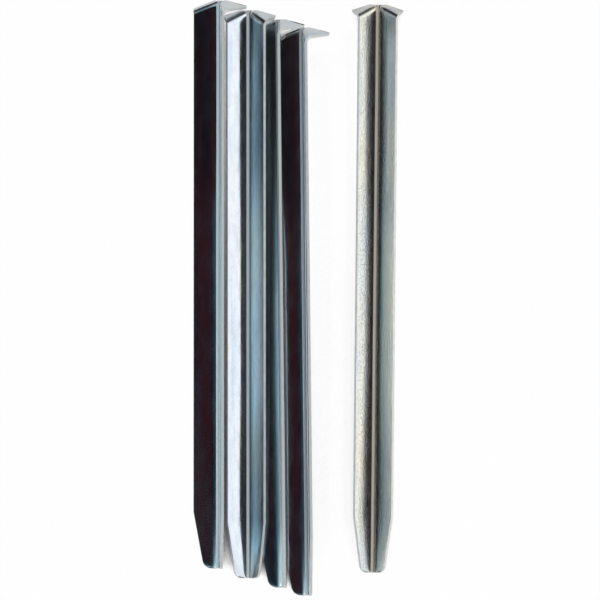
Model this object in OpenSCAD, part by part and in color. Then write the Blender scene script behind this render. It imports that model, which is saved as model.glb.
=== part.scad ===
// Set of five angle tent stakes, each folded from one strip of plated steel sheet.
// Four lie in a row, each one over the edge of the next, and one lies apart.
// The origin is on the ground under the tip of stake_4, with the heads towards +Y.

/* [Sheet] */
// Thickness of the steel sheet
sheet = 1.5; // [1:0.1:2]
// Inside radius of the fold along the ridge
ridge_r = 1.6; // [1:0.1:2.4]
// Angle between the two wings
opening = 90; // [84:1:96]

/* [Shank] */
// Length from the tip to the start of the ear folds at the ridge
shank_len = 297; // [180:1:400]
// Outside width of each wing
wing_w = 15; // [13:0.5:18]

/* [Tip] */
// Length of the tapered end
taper_len = 30; // [15:1:60]
// Outside width of each wing at the blunt end
tip_w = 9.5; // [8.5:0.1:11]
// Radius of the corner at the blunt end
tip_corner_r = 5; // [2:0.5:6]

/* [Ears] */
// Slant of the ear fold across the wing
fold_slant = 22; // [18:1:26]
// Angle through which an ear is folded outwards
fold_angle = 100; // [90:1:105]
// Inside radius of the ear fold
fold_r = 2; // [1.5:0.1:2.5]
// Reach of the ear point past the fold, square to it
ear_reach = 11.2; // [8:0.1:13]
// Distance of the ear point in from the outer edge, along the fold
ear_inset = 10.2; // [7:0.1:11]
// Radius of the ear point
ear_point_r = 0.8; // [0.4:0.1:1.5]
// Thinning of the sheet on each face of the ear fold
thin = 0.04; // [0.03:0.01:0.06]

/* [Layout] */
// Room kept between stakes that lie against each other
clear = 0.3; // [0.2:0.1:0.6]
// Reach of the left edge of stake_4 under the ridge of stake_3
tuck_4 = 2.2; // [1.5:0.1:3]
// Reach of the left edge of stake_3 under the ridge of stake_2, at the head
tuck_3 = 0.6; // [0.3:0.1:2]
// Distance of the stake that lies apart from the end of the row, across the row
apart_x = 35.4; // [34:0.1:60]
// Distance of its tip from the tip at the end of the row, along the row
apart_y = 12.1; // [0:0.1:30]

/* [Hidden] */
$fn = 96;
rise = 90 - opening / 2;
ridge_out = ridge_r + sheet;
wing_flat = wing_w - ridge_out * tan(rise);
tip_flat = tip_w - ridge_out * tan(rise);
far = 4 * wing_w;

// The ear fold is made in equal turns, so that its cut edges follow the flat strip
fold_turns = 5;
notch_turns = 3;
fold_turn = fold_angle / fold_turns;
turn_lap = 1.5;
turn_over = 0.25;
fold_mid_r = fold_r + sheet / 2;
turn_len = fold_mid_r * fold_turn * PI / 180;
fold_ridge_y = shank_len;
fold_outer_y = shank_len - wing_flat * tan(fold_slant);
fold_len = wing_flat / cos(fold_slant);

// Places on the flat strip, x outwards along the fold and y away from its start
fold_end = fold_turns * turn_len;
notch_turn = notch_turns * fold_turn;
notch = [-fold_len - fold_mid_r * sin(notch_turn) * tan(fold_slant), notch_turns * turn_len];
point = [-ear_inset, fold_end + ear_reach];
function outer_edge(s) = -s * tan(fold_slant);
function end_edge(s) = notch[0] + (s - notch[1]) * (point[0] - notch[0]) / (point[1] - notch[1]);

// Saddle over the ridge: a circle through both ends of the slanting section of the ear folds
saddle_thin = 3 * thin;
saddle_lap = 2 * turn_lap;
saddle_along = (fold_r + sheet) * sin(notch_turn) / cos(fold_slant);
saddle_drop = (fold_r + sheet) * (1 - cos(notch_turn));
saddle_out = (saddle_along * saddle_along + saddle_drop * saddle_drop) / (2 * saddle_drop);
saddle_turn = asin(saddle_along / saddle_out) - saddle_lap;

// Rounded ear point: its two edges, and the centre between them
ear_out = [outer_edge(fold_end), fold_end] - point;
ear_in = [end_edge(fold_end), fold_end] - point;
edge_out = ear_out / norm(ear_out);
edge_in = ear_in / norm(ear_in);
point_half = acos(edge_out * edge_in) / 2;
point_mid = point + (edge_out + edge_in) / norm(edge_out + edge_in) * ear_point_r / sin(point_half);

// Lean of each stake to its left and turn on the ground
lean = [40, 9, 47, 40, 0];
turn = [-0.05, 0, 0.63, 0.63, -0.55];

// Angles of the left and right wing above the ground
function left_a(i) = rise - lean[i];
function right_a(i) = rise + lean[i];

// Across the row, a place on the left wing from its distance out and its height above the ridge axis
function left_x(i, p) = p[2] * sin(left_a(i)) - p[0] * cos(left_a(i));
function left_z(i, p) = p[2] * cos(left_a(i)) + p[0] * sin(left_a(i));
function right_z(i, p) = p[2] * cos(right_a(i)) + p[0] * sin(right_a(i));

// Place on an ear, in the frame of its wing, from its place on the flat strip and its depth in the sheet
function on_ear(flat, depth) =
    let (v = flat[1] - fold_end, r = fold_r + depth,
        along = v * cos(fold_angle) + r * sin(fold_angle), down = r * cos(fold_angle) - v * sin(fold_angle))
    [wing_flat + flat[0] * cos(fold_slant) + along * sin(fold_slant),
        fold_outer_y - flat[0] * sin(fold_slant) + along * cos(fold_slant), down - ridge_out - fold_r];

// Seat on the ground: the tip of the ridge and the lower ear point
ear_point = [for (depth = [0, sheet]) on_ear(point_mid, depth)];
function ear_low(i) = min([for (p = ear_point) min(left_z(i, p), right_z(i, p))]) - ear_point_r;
function ground_pitch(i) = atan(-(ear_low(i) + ridge_out) / ear_point[0][1]);

// Lower and right-hand side of a stake kept free of its neighbours, about its ridge axis
keep_r = ridge_out + clear;
function under(i, x) =
    x > keep_r * sin(right_a(i)) && right_a(i) < 90
    ? (x * sin(right_a(i)) - keep_r) / cos(right_a(i))
    : -sqrt(max(0, keep_r * keep_r - x * x));
function beside(i, z) =
    z < -keep_r ? -far
    : z < -keep_r * cos(right_a(i)) ? sqrt(keep_r * keep_r - z * z)
    : (keep_r + z * cos(right_a(i))) / sin(right_a(i));

// Row: steps along it in thicknesses of the sheet, then each stake from the one it lies on
head_stack = [3.2, 3.1, 2.6];
head_step = head_stack * sheet + [clear, clear, clear];
lay_y = [head_step[0] + head_step[1] + head_step[2], head_step[1] + head_step[2], head_step[2], 0, apart_y];
edge_up = [wing_flat, fold_outer_y, -ridge_r];
edge_down = [wing_flat, fold_outer_y, -ridge_out];

pitch_4 = ground_pitch(3);
z_4 = ridge_out * cos(pitch_4);

offset_3 = ridge_out - tuck_4;
x_3 = left_x(3, edge_up) - offset_3;
pitch_3 = pitch_4;
z_3 = z_4 + left_z(3, edge_up) - under(2, offset_3) + lay_y[2] * tan(pitch_4);

offset_2 = ridge_out - tuck_3;
top_3 = z_3 + fold_outer_y * tan(pitch_3) + left_z(2, edge_up);
x_2 = x_3 - fold_outer_y * sin(turn[2]) + left_x(2, edge_up) - offset_2;
pitch_2 = atan((top_3 - under(1, offset_2) - ridge_out) / (fold_outer_y - head_step[1]));
z_2 = ridge_out * cos(pitch_2);

pitch_1 = ground_pitch(0);
z_1 = ridge_out * cos(pitch_1);
side_2 = concat([[wing_flat, taper_len, -ridge_out], edge_down],
    [for (k = [0 : 0.125 : 1], depth = [0, sheet])
        on_ear([outer_edge(fold_end), fold_end] * (1 - k) + point * k, depth)]);
x_1 = min([for (p = side_2)
    x_2 + left_x(1, p) + (p[1] - head_step[0]) * sin(turn[0])
        - beside(0, z_2 + p[1] * tan(pitch_2) + left_z(1, p) - z_1 - (p[1] - head_step[0]) * tan(pitch_1))]);

lay_x = [x_1, x_2, x_3, 0, apart_x];
lay_z = [z_1, z_2, z_3, z_4, ridge_out * cos(ground_pitch(4))];
lay_pitch = [pitch_1, pitch_2, pitch_3, pitch_4, ground_pitch(4)];

// Outline of one wing, from the tip to the start of the ear fold
module wing_outline() {
    taper = atan((wing_flat - tip_flat) / taper_len);
    tangent = tip_corner_r * tan(45 - taper / 2);
    side = [tip_flat + tangent * sin(taper), tangent * cos(taper)];
    polygon([[0, 0], [tip_flat - tangent, 0], side, [wing_flat, taper_len],
        [wing_flat, fold_outer_y], [0, fold_ridge_y]]);
    intersection() {
        translate([tip_flat - tangent, tip_corner_r]) circle(tip_corner_r);
        translate([tip_flat - tangent, 0]) square(tip_corner_r);
    }
}

// Outline of the flat of one ear, past its fold
module ear_outline() {
    tangent = ear_point_r / tan(point_half);
    end = [0, fold_end];
    polygon([[outer_edge(fold_end), 0], point + edge_out * tangent - end, point + edge_in * tangent - end,
        [end_edge(fold_end), 0]]);
    translate(point_mid - end) circle(ear_point_r);
}

// What one turn of the ear fold loses outside the edge of the strip, about the middle of the turn
module turn_waste(i) {
    mid = (i + 0.5) * turn_len;
    from = i == 0 ? -sheet : (i - turn_over) * turn_len;
    to = i == fold_turns - 1 ? fold_end + sheet : (i + 1 + turn_over) * turn_len;
    polygon([[outer_edge(from) - thin, from - mid], [outer_edge(to) - thin, to - mid],
        [far, to - mid], [far, from - mid]]);
    if (i >= notch_turns) {
        start = i == notch_turns ? notch[1] : from;
        polygon([[end_edge(start) + thin, start - mid], [end_edge(to) + thin, to - mid],
            [-far, to - mid], [-far, start - mid]]);
    }
}

// Sheet bent round the fold axis, from the end of the wing to the start of the ear flat
module bend() {
    rotate([turn_lap, -90, 0])
        rotate_extrude(angle = fold_angle + 2 * turn_lap)
            translate([fold_r + thin, -wing_w])
                square([sheet - 2 * thin, fold_len + 2 * wing_w]);
}

// The ear fold, with its edges cut in turns
module fold() {
    difference() {
        bend();
        for (i = [0 : fold_turns - 1])
            rotate([-(i + 0.5) * fold_turn, 0, 0])
                linear_extrude(far)
                    turn_waste(i);
    }
}

// Flat of one ear, past its fold
module ear_flat() {
    rotate([-fold_angle, 0, 0])
        translate([0, 0, fold_r])
            linear_extrude(sheet)
                ear_outline();
}

// Fold axis of the ear, in the frame of its wing
module at_fold() {
    translate([wing_flat, fold_outer_y, -ridge_out - fold_r])
        rotate([0, 0, -fold_slant])
            children();
}

// One wing with its ear: x outwards from the ridge, y towards the head, z into the angle
module wing() {
    translate([0, 0, -ridge_out])
        linear_extrude(sheet)
            wing_outline();
    difference() {
        at_fold() fold();
        translate([thin - 2 * far, 0, -far])
            cube([2 * far, shank_len + far, 2 * far]);
    }
    at_fold() ear_flat();
}

// The rounded ridge between the wings
module ridge() {
    rotate([-90, 0, 0])
        rotate([0, 0, 90 - rise])
            rotate_extrude(angle = 2 * rise)
                translate([ridge_r, 0])
                    square([sheet, fold_ridge_y]);
}

// Cross-section of the saddle, from inside the end of the ridge to its turned-out edge
module saddle_section() {
    translate([ridge_r + saddle_thin, fold_ridge_y - sheet])
        square([sheet - 2 * saddle_thin, sheet]);
    translate([ridge_r + saddle_out, fold_ridge_y]) {
        intersection() {
            difference() {
                circle(saddle_out - saddle_thin);
                circle(saddle_out - sheet + saddle_thin);
            }
            polygon([[0, 0], [-far, 0], [-far, far * tan(saddle_turn)]]);
        }
    }
}

// The saddle where the two ear folds meet over the ridge
module saddle() {
    rotate([-90, 0, 0])
        rotate([0, 0, 90 - rise - saddle_lap])
            rotate_extrude(angle = 2 * (rise + saddle_lap))
                saddle_section();
}

// One stake along +Y with its angle open upwards
module stake() {
    ridge();
    saddle();
    rotate([0, -rise, 0]) wing();
    mirror([1, 0, 0]) rotate([0, -rise, 0]) wing();
}

// One stake in its place on the ground
module laid(i) {
    translate([lay_x[i], lay_y[i], lay_z[i]])
        rotate([lay_pitch[i], 0, turn[i]])
            rotate([0, -lean[i], 0])
                stake();
}

module stake_1() { color("silver") laid(0); }
module stake_2() { color("silver") laid(1); }
module stake_3() { color("silver") laid(2); }
module stake_4() { color("silver") laid(3); }
module stake_5() { color("silver") laid(4); }

stake_1();
stake_2();
stake_3();
stake_4();
stake_5();
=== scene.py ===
import math

import bpy
from mathutils import Matrix, Vector


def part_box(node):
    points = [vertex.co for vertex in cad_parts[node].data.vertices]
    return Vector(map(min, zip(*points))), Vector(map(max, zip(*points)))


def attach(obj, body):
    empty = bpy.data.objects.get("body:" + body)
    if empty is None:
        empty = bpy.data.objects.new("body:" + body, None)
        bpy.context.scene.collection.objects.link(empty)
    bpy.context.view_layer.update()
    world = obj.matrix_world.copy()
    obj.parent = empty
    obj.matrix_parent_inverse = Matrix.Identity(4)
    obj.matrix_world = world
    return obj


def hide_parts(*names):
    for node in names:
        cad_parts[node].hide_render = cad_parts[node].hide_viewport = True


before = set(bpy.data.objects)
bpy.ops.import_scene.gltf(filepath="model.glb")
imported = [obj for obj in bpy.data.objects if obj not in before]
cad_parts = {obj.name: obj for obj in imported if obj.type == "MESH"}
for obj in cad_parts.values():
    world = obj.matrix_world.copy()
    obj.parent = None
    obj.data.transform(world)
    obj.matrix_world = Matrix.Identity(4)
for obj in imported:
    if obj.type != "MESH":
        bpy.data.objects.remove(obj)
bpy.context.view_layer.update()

MM = 0.001
TINY = 1e-6

# Sizes of one stake, in millimetres, as the frame was built
SHEET = 1.5
RIDGE_R = 1.6
RIDGE_MID = RIDGE_R + SHEET / 2
RIDGE_OUT = RIDGE_R + SHEET
RISE = math.radians(45)
SHANK = 297.0
WING_OUTSIDE = 15.0
TIP_OUTSIDE = 9.5
WING = WING_OUTSIDE - RIDGE_OUT
TIP = TIP_OUTSIDE - RIDGE_OUT
TAPER = 30.0
CORNER_R = 5.0
SLANT = math.radians(22)
FOLD = math.radians(100)
FOLD_R = 2.0
FOLD_MID = FOLD_R + SHEET / 2
FOLD_LEN = WING / math.cos(SLANT)
FOLD_OUTER_Y = SHANK - WING * math.tan(SLANT)
FOLD_END = FOLD_MID * FOLD
NOTCH = math.radians(60)
EAR_REACH = 11.2
EAR_INSET = 10.2
EAR_R = 0.8

# Rounding of the cut edges, in millimetres, and the sharpest angle that is left as it is
EDGE_ROUND = 0.32
EDGE_STEPS = 4
EDGE_ANGLE = math.radians(50)

# Pitch, turn and lean of each stake on the ground, in degrees
LAID = {
    1: (2.38, -0.05, 40),
    2: (3.05, 0.0, 9),
    3: (2.38, 0.63, 47),
    4: (2.38, 0.63, 40),
    5: (1.17, -0.55, 0),
}

# The stake that lies apart, which has the warmer plate
APART = 5

# Crown of the left and right wing of each stake, in millimetres into the angle, and its run-out at the head
CROWN = {1: (0.17, 0.1), 2: (0.05, -0.28), 3: (0.1, 0.1), 4: (0.0, 0.1), 5: (0.15, 0.2)}
CROWN_END = 25.0

# Spring of the wings of each stake, in degrees at its tip, middle and head, and where it changes
SPRING = {
    1: (5.6, 7.0, 0.6),
    2: (7.2, 9.0, 7.2),
    3: (3.0, 5.0, 5.0),
    4: (3.4, 3.4, 0.3),
    5: (6.6, 8.5, 6.4),
}
SPRING_TIP_END = 50.0
SPRING_HEAD_START = 170.0
SPRING_CHANGE = 60.0

# Growth of that spring from the ridge to the outer edge, and the distance from the tip over which it sets in
FAN = {1: 0.0, 2: 0.0, 3: 0.0, 4: 1.6, 5: 0.0}
FAN_START = 40.0

# Soft fill of the crease left and right of the ridge, in millimetres, below zero where the crease is deeper
FILL = {1: (0.75, 0.75), 2: (-0.35, -0.05), 3: (0.75, 0.75), 4: (0.75, 0.75), 5: (-0.25, -0.45)}

# Distance from the ridge that the fill reaches, and over which the spring sets in
FILL_REACH = 2.2
SPRING_REACH = 1.8

# Rows of the shank turn from square to slanted past this distance from the tip
SLANT_START = 240.0


def lerp(a, b, t):
    return a + (b - a) * t


def smooth(t):
    t = min(1.0, max(0.0, t))
    return t * t * (3 - 2 * t)


# Flat strip of the ear: x along the fold from the outer edge, y away from the start of the fold
notch = Vector((-FOLD_LEN - FOLD_MID * math.sin(NOTCH) * math.tan(SLANT), FOLD_MID * NOTCH))
point = Vector((-EAR_INSET, FOLD_END + EAR_REACH))


def outer_edge(s):
    """Outer edge of the strip at a distance s past the start of the fold."""
    return -s * math.tan(SLANT)


def end_edge(s):
    """Edge from the notch to the ear point, at a distance s past the start of the fold."""
    return lerp(notch.x, point.x, (s - notch.y) / (point.y - notch.y))


# Rounded ear point: its two edges, the centre between them and where the round meets each edge
base_out = Vector((outer_edge(FOLD_END), FOLD_END))
base_in = Vector((end_edge(FOLD_END), FOLD_END))
edge_out = (base_out - point).normalized()
edge_in = (base_in - point).normalized()
point_half = edge_out.angle(edge_in) / 2
point_mid = point + (edge_out + edge_in).normalized() * (EAR_R / math.sin(point_half))
tangent = EAR_R / math.tan(point_half)
touch_out = (point + edge_out * tangent).y
touch_in = (point + edge_in * tangent).y


def ear_sides(s):
    """Left and right end of the ear's strip at a distance s past the start of the fold."""
    across = math.sqrt(max(0.0, EAR_R ** 2 - (s - point_mid.y) ** 2))
    left = point_mid.x - across if s > touch_in else end_edge(s)
    if s > touch_out:
        return left, point_mid.x + across
    return left, lerp(base_out.x, point.x, (s - FOLD_END) / EAR_REACH)


def wing_width(y):
    """Width of the wing at a distance y from the blunt end, with its rounded corner."""
    taper = math.atan((WING - TIP) / TAPER)
    corner = CORNER_R * math.tan(math.radians(45) - taper / 2)
    if y < corner * math.cos(taper):
        return TIP - corner + math.sqrt(max(0.0, CORNER_R ** 2 - (CORNER_R - y) ** 2))
    return min(WING, TIP + (WING - TIP) * y / TAPER)


# Rows of the strip: the round corner in equal turns, the taper, the shank, the ear fold and the ear
CORNER_STEPS = 9
FOLD_STEPS = 20
EAR_STEPS = 9
POINT_STEPS = 6
POINT_SHARE = 0.985
corner_rows = [CORNER_R * (1 - math.cos(math.pi / 2 * k / CORNER_STEPS)) for k in range(CORNER_STEPS)]
taper_rows = [5.2, 6.5, 8.5, 11, 14, 18, 22, 26, 28.5, TAPER, 31.5]
middle_rows = list(range(34, 285, 5))
head_rows = [287, 290, 292.5, 294.5, 296, SHANK]
fold_rows = [FOLD * k / FOLD_STEPS for k in range(1, FOLD_STEPS + 1)]
round_start = touch_in - FOLD_END
round_len = point_mid.y + EAR_R * POINT_SHARE - touch_in
ear_rows = [round_start * k / EAR_STEPS for k in range(1, EAR_STEPS)]
ear_rows += [round_start + round_len * k / POINT_STEPS for k in range(POINT_STEPS + 1)]
ROWS = [("shank", y) for y in corner_rows + taper_rows + middle_rows + head_rows]
ROWS += [("fold", a) for a in fold_rows]
ROWS += [("ear", v) for v in ear_rows]

# Columns of the strip: the left wing from its edge, the ridge as angles about its axis, the right wing
WING_SHARES = [0, 0.06, 0.14, 0.24, 0.36, 0.48, 0.6, 0.72, 0.82, 0.9, 0.96, 1]
RIDGE_STEPS = 14
COLUMNS = [(-1, t) for t in reversed(WING_SHARES)]
COLUMNS += [(0, RISE * (2 * k / RIDGE_STEPS - 1)) for k in range(1, RIDGE_STEPS)]
COLUMNS += [(1, t) for t in WING_SHARES]


def wing_point(y, t, depth, crown):
    """Point of a wing before its fold: t runs from the ridge to the outer edge."""
    x = t * wing_width(y)
    slanted = smooth((y - SLANT_START) / (SHANK - SLANT_START))
    bulge = crown * 4 * (x / WING) * (1 - x / WING) * smooth((SHANK - y) / CROWN_END)
    return Vector((x, y - x * math.tan(SLANT) * slanted, depth - RIDGE_OUT + bulge))


def from_fold(x, y, z):
    """Point in the frame of the fold axis, brought to the frame of its wing."""
    return Vector((
        WING + x * math.cos(SLANT) + y * math.sin(SLANT),
        FOLD_OUTER_Y - x * math.sin(SLANT) + y * math.cos(SLANT),
        z - RIDGE_OUT - FOLD_R,
    ))


def fold_point(a, t, depth):
    """Point of the ear fold after an angle a."""
    r = FOLD_R + depth
    s = FOLD_MID * a
    seam = -FOLD_LEN - r * math.sin(a) * math.tan(SLANT)
    left = seam if a <= NOTCH + TINY else end_edge(s)
    return from_fold(lerp(left, outer_edge(s), t), r * math.sin(a), r * math.cos(a))


def ear_point(v, t, depth):
    """Point of the flat of the ear, a distance v past the end of its fold."""
    r = FOLD_R + depth
    left, right = ear_sides(FOLD_END + v)
    along = v * math.cos(FOLD) + r * math.sin(FOLD)
    down = r * math.cos(FOLD) - v * math.sin(FOLD)
    return from_fold(lerp(left, right, t), along, down)


def raise_wing(p, side):
    """Turns a point from the frame of a wing to the frame of the stake."""
    x = p.x * math.cos(RISE) - p.z * math.sin(RISE)
    return Vector((side * x, p.y, p.x * math.sin(RISE) + p.z * math.cos(RISE)))


def ridge_point(y, phi, depth):
    """Point of the round ridge between the wings."""
    r = RIDGE_OUT - depth
    return Vector((r * math.sin(phi), y, -r * math.cos(phi)))


def saddle_point(a, phi, depth):
    """Point of the saddle that carries the ear folds over the ridge."""
    r = FOLD_R + depth
    out = RIDGE_OUT + FOLD_R - r * math.cos(a)
    y = SHANK + r * math.sin(a) / math.cos(SLANT)
    return Vector((out * math.sin(phi), y, -out * math.cos(phi)))


def strip_point(number, row, column, depth):
    """Point of a stake at a row and column of its strip, or None where the strip is cut away."""
    kind, value = row
    side, t = column
    if side == 0:
        if kind == "shank":
            return ridge_point(value, t, depth)
        if kind == "fold" and value <= NOTCH + TINY:
            return saddle_point(value, t, depth)
        return None
    if kind == "shank":
        left, right = CROWN[number]
        return raise_wing(wing_point(value, t, depth, left if side < 0 else right), side)
    if kind == "fold":
        return raise_wing(fold_point(value, t, depth), side)
    return raise_wing(ear_point(value, t, depth), side)


def strip_along(row):
    """Distance of a row from the tip, on the flat strip."""
    kind, value = row
    if kind == "shank":
        return value
    return SHANK + (FOLD_MID * value if kind == "fold" else FOLD_END + value)


def strip_across(column):
    """Distance of a column from the middle of the ridge, on the flat strip."""
    side, t = column
    return side * (RIDGE_MID * RISE + t * WING) if side else t * RIDGE_MID


def spring_slope(number, along, column):
    """Slope by which the sheet springs open at a distance from the tip."""
    side, t = column
    tip, middle, head = SPRING[number]
    degrees = lerp(tip, middle, smooth((along - SPRING_TIP_END) / SPRING_CHANGE))
    degrees = lerp(degrees, head, smooth((along - SPRING_HEAD_START) / SPRING_CHANGE))
    fan = 1 + FAN[number] * t * t * smooth(along / FAN_START) if side else 1
    return fan * math.tan(math.radians(degrees))


def crease_fill(number, column):
    """Fill of the crease on one side of the ridge, or between both on the ridge itself."""
    side, t = column
    share = side if side else math.sin(2 * t)
    return lerp(*FILL[number], (1 + share) / 2)


def strip_skins(number):
    """Points of the outer and inner skin, their places on the strip and the values that the finish uses."""
    grid = {}
    points = []
    places = []
    springs = []
    fills = []
    for depth, face in ((0.0, 1), (SHEET, -1)):
        for j, row in enumerate(ROWS):
            along = strip_along(row)
            for i, column in enumerate(COLUMNS):
                p = strip_point(number, row, column, depth)
                if p is None:
                    continue
                grid[depth, j, i] = len(points)
                points.append(p * MM)
                places.append((strip_across(column) * MM, along * MM))
                springs.append(face * spring_slope(number, along, column))
                fills.append(face * crease_fill(number, column) * MM)
    return grid, points, places, springs, fills


# Material slots of the plated skins and of the cut edge
SKIN_SLOT = 0
EDGE_SLOT = 1


def strip_faces(grid):
    """Faces of both skins and of the cut edge that joins them, with the material slot of each."""
    faces = []
    slots = []
    sides = {}
    for j in range(len(ROWS) - 1):
        for i in range(len(COLUMNS) - 1):
            ring = ((j, i), (j, i + 1), (j + 1, i + 1), (j + 1, i))
            if not all((SHEET, *corner) in grid for corner in ring):
                continue
            faces.append([grid[(SHEET, *corner)] for corner in ring])
            faces.append([grid[(0.0, *corner)] for corner in reversed(ring)])
            slots += [SKIN_SLOT, SKIN_SLOT]
            for a, b in zip(ring, ring[1:] + ring[:1]):
                sides.setdefault(frozenset((a, b)), []).append((a, b))
    for used in sides.values():
        if len(used) == 1:
            a, b = used[0]
            faces.append([grid[(SHEET, *b)], grid[(SHEET, *a)], grid[(0.0, *a)], grid[(0.0, *b)]])
            slots.append(EDGE_SLOT)
    return faces, slots


def lay_down(mesh, number):
    """Turns a stake as it lies and brings its lowest corner to that of its node in the frame."""
    pitch, turn, lean = LAID[number]
    mesh.transform(
        Matrix.Rotation(math.radians(turn), 4, "Z")
        @ Matrix.Rotation(math.radians(pitch), 4, "X")
        @ Matrix.Rotation(math.radians(-lean), 4, "Y")
    )
    lowest = Vector([min(vertex.co[axis] for vertex in mesh.vertices) for axis in range(3)])
    node_low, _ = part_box(f"stake_{number}")
    mesh.transform(Matrix.Translation(node_low - lowest))
    mesh.update()


# Shift of the finish from stake to stake, across and along the strip, so that no two look the same
SHIFT_ACROSS = 0.37
SHIFT_ALONG = 0.21


def stake_mesh(name, number):
    """One folded strip, as an inner and an outer skin joined round its cut edges."""
    grid, points, places, springs, fills = strip_skins(number)
    faces, slots = strip_faces(grid)
    mesh = bpy.data.meshes.new(name)
    mesh.from_pydata(points, [], faces)
    layer = mesh.uv_layers.new(name="strip")
    for loop in mesh.loops:
        across, along = places[loop.vertex_index]
        layer.data[loop.index].uv = (across + SHIFT_ACROSS * number, along + SHIFT_ALONG * number)
    middles = [across for across, along in places]
    for key, values in (("across", middles), ("spring", springs), ("fill", fills)):
        mesh.attributes.new(key, "FLOAT", "POINT").data.foreach_set("value", values)
    for polygon, slot in zip(mesh.polygons, slots):
        polygon.use_smooth = True
        polygon.material_index = slot
    mesh.validate()
    lay_down(mesh, number)
    return mesh


def add_node(tree, kind, **values):
    made = tree.nodes.new(kind)
    for key, value in values.items():
        setattr(made, key, value)
    return made


def rgba(colour):
    """Full colour from three parts or from one grey level."""
    return (*colour, 1) if isinstance(colour, tuple) else (colour, colour, colour, 1)


def ramp(tree, source, stops):
    """Colours or grey levels at chosen places of a value from 0 to 1."""
    made = add_node(tree, "ShaderNodeValToRGB")
    items = made.color_ramp.elements
    while len(items) < len(stops):
        items.new(0.5)
    for item, (where, colour) in zip(items, stops):
        item.position = where
        item.color = rgba(colour)
    tree.links.new(source, made.inputs["Fac"])
    return made.outputs["Color"]


def strip_noise(tree, scale, detail=3.0, rough=0.55):
    """Noise on the flat strip, with its scale across and along it in spots a metre."""
    place = add_node(tree, "ShaderNodeUVMap", uv_map="strip")
    mapping = add_node(tree, "ShaderNodeMapping")
    mapping.inputs["Scale"].default_value = (*scale, 1)
    noise = add_node(tree, "ShaderNodeTexNoise", noise_dimensions="2D")
    noise.inputs["Scale"].default_value = 1
    noise.inputs["Detail"].default_value = detail
    noise.inputs["Roughness"].default_value = rough
    tree.links.new(place.outputs["UV"], mapping.inputs["Vector"])
    tree.links.new(mapping.outputs["Vector"], noise.inputs["Vector"])
    return noise.outputs["Fac"]


# Sockets of a colour mix node
MIX_FACTOR = 0
MIX_COLOURS = (6, 7)
MIX_RESULT = 2


def mix(tree, factor, first, second, blend="MIX"):
    """Mix of two colours, each a socket, a colour or a grey level."""
    made = add_node(tree, "ShaderNodeMix", data_type="RGBA", blend_type=blend)
    if isinstance(factor, float):
        made.inputs[MIX_FACTOR].default_value = factor
    else:
        tree.links.new(factor, made.inputs[MIX_FACTOR])
    for index, value in zip(MIX_COLOURS, (first, second)):
        if isinstance(value, (tuple, float)):
            made.inputs[index].default_value = rgba(value)
        else:
            tree.links.new(value, made.inputs[index])
    return made.outputs[MIX_RESULT]


def attribute(tree, name):
    return add_node(tree, "ShaderNodeAttribute", attribute_name=name).outputs["Fac"]


def maths(tree, operation, *values):
    made = add_node(tree, "ShaderNodeMath", operation=operation)
    for socket, value in zip(made.inputs, values):
        if isinstance(value, (int, float)):
            socket.default_value = value
        else:
            tree.links.new(value, socket)
    return made.outputs[0]


def bump(tree, height, distance, below=None):
    made = add_node(tree, "ShaderNodeBump")
    made.inputs["Strength"].default_value = 1.0
    made.inputs["Distance"].default_value = distance
    tree.links.new(height, made.inputs["Height"])
    if below is not None:
        tree.links.new(below, made.inputs["Normal"])
    return made.outputs["Normal"]


def new_material(name):
    made = bpy.data.materials.new(name)
    made.use_nodes = True
    return made, made.node_tree, made.node_tree.nodes["Principled BSDF"]


def wing_spring(tree):
    """Spring of the wings away from the ridge and the fill of its crease, as a height over the sheet."""
    across = attribute(tree, "across")
    square = maths(tree, "MULTIPLY", across, across)
    reach = maths(tree, "SQRT", maths(tree, "ADD", square, (SPRING_REACH * MM) ** 2))
    near = maths(tree, "EXPONENT", maths(tree, "MULTIPLY", square, -0.5 / (FILL_REACH * MM) ** 2))
    rise = maths(tree, "MULTIPLY", reach, attribute(tree, "spring"))
    return maths(tree, "SUBTRACT", rise, maths(tree, "MULTIPLY", near, attribute(tree, "fill")))


# Bands along the ridge, in millimetres from its middle: start and end of their left and right side. The worn
# band's pale colour is also a painted highlight of the ridge line, and the band just right of the ridge is
# painted shade.
WORN_AND_HIGHLIGHT_BAND = (-1.8, -1.3, 0.3, 0.7)
PAINTED_SHADE_BAND = (0.4, 0.7, 1.2, 1.6)
ROUGH_BAND = (-1.7, -1.2, 0.4, 0.8)
DULL_BAND = (-1.7, -1.2, 1.0, 1.5)
BAND_SPAN = 10.0


def ridge_band(tree, band, inside, outside=0.0):
    """One level inside a band along the ridge and another outside it."""
    place = maths(tree, "MULTIPLY_ADD", attribute(tree, "across"), 1 / (BAND_SPAN * MM), 0.5)
    where = [0.5 + side / BAND_SPAN for side in band]
    return ramp(tree, place, list(zip(where, (outside, inside, inside, outside))))


# Depth of the waves and rolling lines of the plate, in millimetres, and the soft rim of a pit
WAVE_DEPTH = 0.04
STREAK_DEPTH = 0.003
PIT_RIM = 0.11


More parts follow.
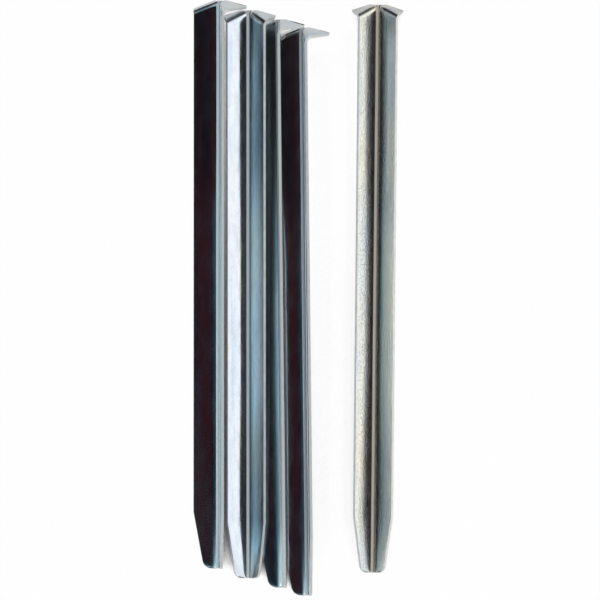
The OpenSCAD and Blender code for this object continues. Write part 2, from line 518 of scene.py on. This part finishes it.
def zinc_skin(name, tints, worn_and_highlight, painted_shade, pit_share, pit_depth, peel_depth, dulled):
    """Bright zinc plate: a thin tint, clouds, pits, rolling lines, waves, a worn line on the ridge whose
    pale colour is also a painted highlight, and painted shade just right of the ridge.
    """
    made, tree, bsdf = new_material(name)
    streak = strip_noise(tree, (1500, 16), 4.0)
    cloud = strip_noise(tree, (260, 90), 4.0, 0.65)
    tint = strip_noise(tree, (160, 14), 2.0)
    wave = strip_noise(tree, (140, 40), 2.0)
    haze = strip_noise(tree, (40, 9), 2.0)
    grain = strip_noise(tree, (1100, 800), 3.0, 0.6)
    peel = strip_noise(tree, (900, 1100), 3.0, 0.6)
    pits = ramp(tree, grain, [(pit_share, 0.0), (pit_share + PIT_RIM, 1.0)])

    colour = ramp(tree, tint, list(zip((0.3, 0.5, 0.72), tints)))
    colour = mix(tree, 1.0, colour, ramp(tree, cloud, [(0.34, 0.94), (0.60, 1.0)]), "MULTIPLY")
    colour = mix(tree, 1.0, colour, ramp(tree, pits, [(0.0, 0.86), (1.0, 1.0)]), "MULTIPLY")
    # Pale line on the ridge: duller worn plate, and its pale colour is a painted highlight of the ridge line
    colour = mix(tree, ridge_band(tree, WORN_AND_HIGHLIGHT_BAND, 0.9), colour, worn_and_highlight)
    # Dark line just right of the ridge: painted shade, the dark side of the ridge's reflection
    colour = mix(tree, ridge_band(tree, PAINTED_SHADE_BAND, 0.9), colour, painted_shade)
    tree.links.new(colour, bsdf.inputs["Base Color"])

    gloss = [(0.36, 0.21), (0.62, 0.09)]
    rough = mix(tree, 0.4, ramp(tree, cloud, gloss), ramp(tree, streak, gloss))
    rough = mix(tree, ramp(tree, haze, [(0.42, 0.0), (0.66, dulled)]), rough, 0.25)
    rough = mix(tree, ridge_band(tree, ROUGH_BAND, 1.0), rough, 0.6)
    tree.links.new(rough, bsdf.inputs["Roughness"])
    tree.links.new(ridge_band(tree, DULL_BAND, 0.3, 1.0), bsdf.inputs["Metallic"])

    normal = bump(tree, wing_spring(tree), 1.0)
    normal = bump(tree, wave, WAVE_DEPTH * MM, normal)
    normal = bump(tree, peel, peel_depth * MM, normal)
    normal = bump(tree, pits, pit_depth * MM, normal)
    normal = bump(tree, streak, STREAK_DEPTH * MM, normal)
    tree.links.new(normal, bsdf.inputs["Normal"])
    return made


# Depth of the grain on a cut edge, in millimetres
EDGE_GRAIN_DEPTH = 0.02


def cut_edge():
    """Sheared edge of the sheet: the same plate over a rougher face."""
    made, tree, bsdf = new_material("cut_edge")
    bsdf.inputs["Metallic"].default_value = 0.35
    grain = strip_noise(tree, (900, 260), 3.0)
    colour = ramp(tree, grain, [(0.3, (0.88, 0.88, 0.86)), (0.7, (0.98, 0.98, 0.96))])
    tree.links.new(colour, bsdf.inputs["Base Color"])
    tree.links.new(ramp(tree, grain, [(0.3, 0.52), (0.7, 0.36)]), bsdf.inputs["Roughness"])
    tree.links.new(bump(tree, grain, EDGE_GRAIN_DEPTH * MM), bsdf.inputs["Normal"])
    return made


blue_zinc = zinc_skin(
    "zinc_blue",
    tints=((0.70, 0.76, 0.82), (0.80, 0.83, 0.85), (0.84, 0.83, 0.80)),
    # Pale ridge line: worn, and its colour also a painted highlight
    worn_and_highlight=(0.92, 0.94, 0.95),
    # Painted shade just right of the ridge
    painted_shade=(0.26, 0.29, 0.32),
    pit_share=0.27,
    pit_depth=0.001,
    peel_depth=0.004,
    dulled=0.5,
)
straw_zinc = zinc_skin(
    "zinc_straw",
    tints=((0.68, 0.71, 0.73), (0.80, 0.79, 0.74), (0.86, 0.81, 0.72)),
    # Pale ridge line: worn, and its colour also a painted highlight
    worn_and_highlight=(0.98, 0.83, 0.68),
    # Painted shade just right of the ridge
    painted_shade=(0.36, 0.27, 0.22),
    pit_share=0.35,
    pit_depth=0.02,
    peel_depth=0.06,
    dulled=0.1,
)
edge_material = cut_edge()
for number in LAID:
    name = f"stake_{number}_plated"
    piece = bpy.data.objects.new(name, stake_mesh(name, number))
    bpy.context.collection.objects.link(piece)
    piece.data.materials.append(straw_zinc if number == APART else blue_zinc)
    piece.data.materials.append(edge_material)
    rounded = piece.modifiers.new("rounded_edges", "BEVEL")
    rounded.width = EDGE_ROUND * MM
    rounded.segments = EDGE_STEPS
    rounded.limit_method = "ANGLE"
    rounded.angle_limit = EDGE_ANGLE
    rounded.harden_normals = True
    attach(piece, f"body_{number}")
    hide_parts(f"stake_{number}")


# Floor, in metres: its size, its place under the row and how far shade reaches from what stands over it
FLOOR_SIZE = 6
FLOOR_PLACE = (0, 0.15, -0.0002)
SHADE_REACH = 0.03

# Share of plain white that the camera and the metal see of the floor
WHITE_TO_CAMERA = 0.985
WHITE_IN_METAL = 0.3


def pale_floor():
    """White board that stays white to the camera and in the metal, with shade in the narrow gaps."""
    made, tree, bsdf = new_material("pale_floor")
    bsdf.inputs["Base Color"].default_value = rgba(0.9)
    bsdf.inputs["Roughness"].default_value = 0.8
    path = add_node(tree, "ShaderNodeLightPath")
    camera_share = maths(tree, "MULTIPLY", path.outputs["Is Camera Ray"], WHITE_TO_CAMERA)
    metal_share = maths(tree, "MULTIPLY", path.outputs["Is Glossy Ray"], WHITE_IN_METAL)
    shade = add_node(tree, "ShaderNodeAmbientOcclusion", samples=8)
    shade.inputs["Distance"].default_value = SHADE_REACH
    glow = add_node(tree, "ShaderNodeEmission")
    glow.inputs["Strength"].default_value = 1.0
    white = ramp(tree, shade.outputs["AO"], [(0.12, 0.03), (0.26, 0.2), (0.42, 1.0)])
    tree.links.new(white, glow.inputs["Color"])
    both = add_node(tree, "ShaderNodeMixShader")
    tree.links.new(maths(tree, "ADD", camera_share, metal_share), both.inputs[0])
    tree.links.new(bsdf.outputs[0], both.inputs[1])
    tree.links.new(glow.outputs[0], both.inputs[2])
    tree.links.new(both.outputs[0], tree.nodes["Material Output"].inputs["Surface"])
    return made


bpy.ops.mesh.primitive_plane_add(size=FLOOR_SIZE, location=FLOOR_PLACE)
floor = bpy.context.object
floor.name = "floor"
floor.data.materials.append(pale_floor())

# Light of the tent on its right and left, from 0 straight above past 0.5 at the horizon
TENT_RIGHT = [
    (0.00, (0.007, 0.005, 0.007)),
    (0.05, (0.008, 0.006, 0.009)),
    (0.10, (0.016, 0.015, 0.019)),
    (0.145, (0.036, 0.037, 0.044)),
    (0.165, (0.07, 0.075, 0.085)),
    (0.185, (0.15, 0.16, 0.175)),
    (0.215, (0.40, 0.41, 0.44)),
    (0.25, (0.80, 0.84, 0.90)),
    (0.30, (1.10, 1.14, 1.22)),
    (0.38, (1.12, 1.16, 1.23)),
    (0.42, (1.08, 1.09, 1.00)),
    (0.50, (1.10, 1.10, 1.00)),
]
TENT_LEFT = [
    (0.00, (0.007, 0.005, 0.007)),
    (0.03, (0.042, 0.010, 0.014)),
    (0.055, (0.024, 0.008, 0.012)),
    (0.08, (0.005, 0.008, 0.012)),
    (0.10, (0.016, 0.030, 0.042)),
    (0.125, (0.04, 0.06, 0.072)),
    (0.145, (0.08, 0.115, 0.135)),
    (0.165, (0.16, 0.24, 0.28)),
    (0.18, (0.25, 0.43, 0.53)),
    (0.20, (0.36, 0.60, 0.71)),
    (0.225, (0.56, 0.84, 0.95)),
    (0.25, (0.46, 0.62, 0.68)),
    (0.295, (0.60, 0.68, 0.70)),
    (0.305, (1.9, 1.9, 1.85)),
    (0.335, (1.9, 1.9, 1.85)),
    (0.345, (0.60, 0.66, 0.67)),
    (0.39, (0.28, 0.35, 0.37)),
    (0.42, (0.12, 0.145, 0.16)),
    (0.46, (0.10, 0.125, 0.135)),
    (0.52, (0.50, 0.55, 0.56)),
]

# Change from the left to the right side, and the fade to the darker ends of the tent
SIDE_CHANGE = (-0.14, 0.14)
END_FADE = (0.45, 0.75)
END_LEVEL = 0.07


def soft_step(tree, value, start_end, levels=(0.0, 1.0)):
    """Soft change from one level to another between the start and the end of a stretch."""
    made = add_node(tree, "ShaderNodeMapRange", interpolation_type="SMOOTHSTEP")
    made.inputs["From Min"].default_value, made.inputs["From Max"].default_value = start_end
    made.inputs["To Min"].default_value, made.inputs["To Max"].default_value = levels
    tree.links.new(value, made.inputs["Value"])
    return made.outputs[0]


def studio_world():
    """Light tent: dark round the camera and beyond both ends, pale to the right, cooler to the left."""
    world = bpy.data.worlds.new("light_tent")
    bpy.context.scene.world = world
    world.use_nodes = True
    tree = world.node_tree
    back = tree.nodes["Background"]
    place = add_node(tree, "ShaderNodeTexCoord")
    parts = add_node(tree, "ShaderNodeSeparateXYZ")
    tree.links.new(place.outputs["Generated"], parts.inputs[0])
    share = maths(tree, "DIVIDE", maths(tree, "ARCCOSINE", parts.outputs["Z"]), math.pi)
    side = soft_step(tree, parts.outputs["X"], SIDE_CHANGE)
    sides = mix(tree, side, ramp(tree, share, TENT_LEFT), ramp(tree, share, TENT_RIGHT))
    ends = soft_step(tree, maths(tree, "ABSOLUTE", parts.outputs["Y"]), END_FADE, (1.0, END_LEVEL))
    tree.links.new(mix(tree, 1.0, sides, ends, "MULTIPLY"), back.inputs["Color"])
    back.inputs["Strength"].default_value = 1.0


studio_world()

# Lamps, in metres and watts
LAMP_X = 1.2
LAMP_Y = -0.9
LAMP_Z = 1.9
LAMP_AIM = Vector((0, 0.15, 0))
LAMP_SIZE = 1.0
LAMP_POWER = 12.0
LAMP_COLOUR = (1.0, 0.99, 0.97)


def soft_lamp(name, place):
    """Square soft lamp aimed at the middle of the row, which doesn't show in the metal."""
    light = bpy.data.lights.new(name, "AREA")
    light.shape = "SQUARE"
    light.size = LAMP_SIZE
    light.energy = LAMP_POWER
    light.color = LAMP_COLOUR
    made = bpy.data.objects.new(name, light)
    bpy.context.collection.objects.link(made)
    made.location = place
    made.visible_glossy = False
    made.rotation_euler = (LAMP_AIM - place).to_track_quat("-Z", "Y").to_euler()


soft_lamp("soft_left", Vector((-LAMP_X, LAMP_Y, LAMP_Z)))
soft_lamp("soft_right", Vector((LAMP_X, LAMP_Y, LAMP_Z)))

# Camera straight above the row, in metres: its place, the height of a plane and the width seen there
VIEW_PLACE = (-0.0029, 0.1563, 6.0)
VIEW_PLANE = 0.012
VIEW_SPAN = 0.31687
SENSOR = 36
FAR_CLIP = 20

camera_data = bpy.data.cameras.new("camera")
camera = bpy.data.objects.new("camera", camera_data)
bpy.context.collection.objects.link(camera)
camera.location = VIEW_PLACE
camera.rotation_euler = (0, 0, 0)
camera_data.sensor_width = SENSOR
camera_data.lens = SENSOR * (VIEW_PLACE[2] - VIEW_PLANE) / VIEW_SPAN
camera_data.clip_end = FAR_CLIP
bpy.context.scene.camera = camera

bpy.context.scene.view_settings.view_transform = "Standard"
